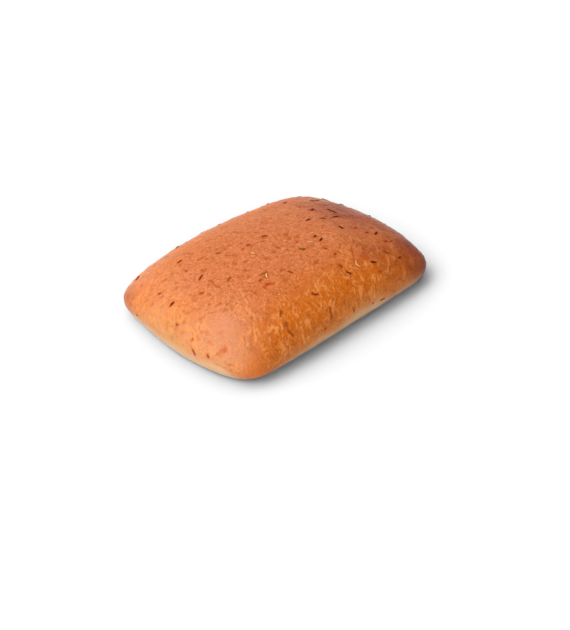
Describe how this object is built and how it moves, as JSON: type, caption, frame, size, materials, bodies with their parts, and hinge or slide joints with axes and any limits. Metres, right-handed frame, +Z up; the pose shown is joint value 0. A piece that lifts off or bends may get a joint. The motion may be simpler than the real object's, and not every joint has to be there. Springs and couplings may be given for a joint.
{
  "type": "rosemary focaccia roll",
  "caption": "Pillow-shaped rectangular focaccia bread roll with a golden brown crust, rounded corners, a tucked-under pale edge, a flat underside and rosemary baked into the top.",
  "frame": {"origin": "middle of the bounding box in plan, on the surface the bread rests on", "axes": "+X along the roll's length, +Y across its width, +Z up"},
  "size_m": [0.15, 0.1054, 0.0312],
  "materials": {
    "crust": "golden brown baked crust, satin, finely wrinkled, paler near the underside",
    "rosemary": "dried rosemary needles, dark olive brown, dull"
  },
  "bodies": {
    "root": {"focaccia": "crust"}
  },
  "joints": []
}
